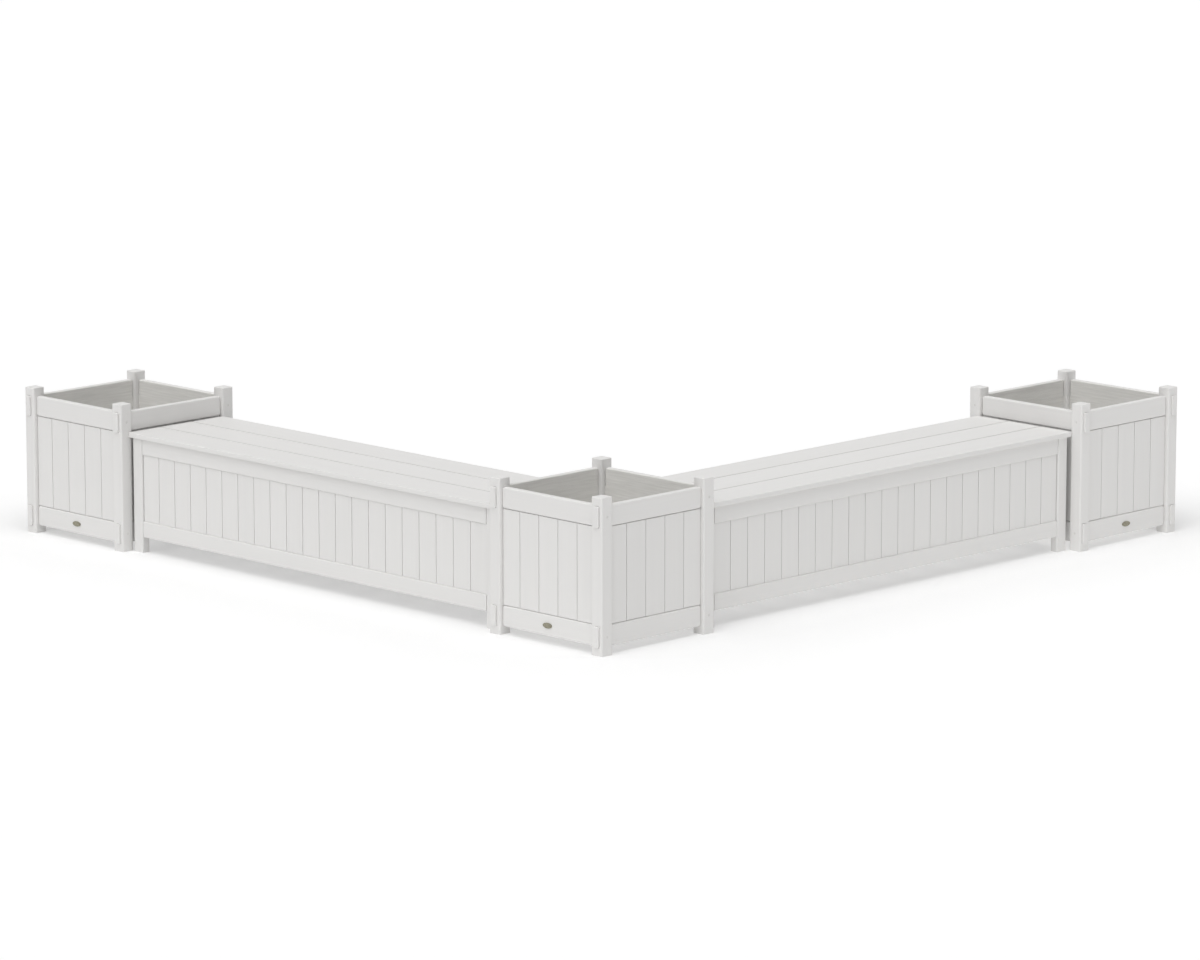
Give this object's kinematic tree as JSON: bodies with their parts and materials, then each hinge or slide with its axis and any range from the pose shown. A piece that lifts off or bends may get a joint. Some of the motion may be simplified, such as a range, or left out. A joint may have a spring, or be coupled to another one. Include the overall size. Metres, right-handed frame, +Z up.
{
  "type": "bench with planter",
  "caption": "L-shaped garden seating of white plastic lumber: long storage benches with lift-up seats, between square panelled planters at the corner and at both ends.",
  "frame": {"origin": "on the ground, under the middle of the whole L's bounding box", "axes": "+Z up; the corner planter is at low X and low Y, the left bench runs along +Y and the right bench along +X"},
  "size_m": [2.8736, 2.8736, 0.519],
  "materials": {
    "lumber": "off-white recycled plastic lumber, matte with a faint sawn grain",
    "plaque": "aged bronze-coloured metal, satin, blank",
    "coated_screw": "screw heads coated off-white, to match the lumber",
    "stainless": "plain stainless steel, satin"
  },
  "bodies": {
    "planters_and_bench_frames": {"left_planter_posts": "lumber", "left_planter_side_rails": "lumber", "left_planter_cross_rails": "lumber", "left_planter_front_boards": "lumber", "left_planter_rear_boards": "lumber", "left_planter_side_boards": "lumber", "left_planter_floor_slats": "lumber", "left_planter_floor_bearers": "lumber", "left_planter_rail_screws": "coated_screw", "left_planter_plaque": "plaque", "corner_planter_posts": "lumber", "corner_planter_side_rails": "lumber", "corner_planter_cross_rails": "lumber", "corner_planter_front_boards": "lumber", "corner_planter_rear_boards": "lumber", "corner_planter_side_boards": "lumber", "corner_planter_floor_slats": "lumber", "corner_planter_floor_bearers": "lumber", "corner_planter_rail_screws": "coated_screw", "corner_planter_plaque": "plaque", "right_planter_posts": "lumber", "right_planter_side_rails": "lumber", "right_planter_cross_rails": "lumber", "right_planter_front_boards": "lumber", "right_planter_rear_boards": "lumber", "right_planter_side_boards": "lumber", "right_planter_floor_slats": "lumber", "right_planter_floor_bearers": "lumber", "right_planter_rail_screws": "coated_screw", "right_planter_plaque": "plaque", "left_bench_legs": "lumber", "left_bench_long_rails": "lumber", "left_bench_end_rails": "lumber", "left_bench_front_boards": "lumber", "left_bench_rear_boards": "lumber", "left_bench_end_boards": "lumber", "left_bench_floor_slats": "lumber", "left_bench_floor_bearers": "lumber", "left_bench_hinge_frame_leaves": "stainless", "left_bench_hinge_pins": "stainless", "left_bench_hinge_screws": "stainless", "right_bench_legs": "lumber", "right_bench_long_rails": "lumber", "right_bench_end_rails": "lumber", "right_bench_front_boards": "lumber", "right_bench_rear_boards": "lumber", "right_bench_end_boards": "lumber", "right_bench_floor_slats": "lumber", "right_bench_floor_bearers": "lumber", "right_bench_hinge_frame_leaves": "stainless", "right_bench_hinge_pins": "stainless", "right_bench_hinge_screws": "stainless"},
    "left_lid": {"left_bench_seat_planks": "lumber", "left_bench_lid_battens": "lumber", "left_bench_lid_screws": "stainless", "left_bench_hinge_lid_leaves": "stainless"},
    "right_lid": {"right_bench_seat_planks": "lumber", "right_bench_lid_battens": "lumber", "right_bench_lid_screws": "stainless", "right_bench_hinge_lid_leaves": "stainless"}
  },
  "joints": [
    {"name": "left_lid_hinge", "type": "hinge", "parent": "planters_and_bench_frames", "child": "left_lid", "pos_m": [-0.9708, 0.0035, 0.3977], "axis": [0, 1, 0], "range_deg": [0, 94]},
    {"name": "right_lid_hinge", "type": "hinge", "parent": "planters_and_bench_frames", "child": "right_lid", "pos_m": [0.0035, -0.9588, 0.3977], "axis": [-1, 0, 0], "range_deg": [0, 94]}
  ]
}
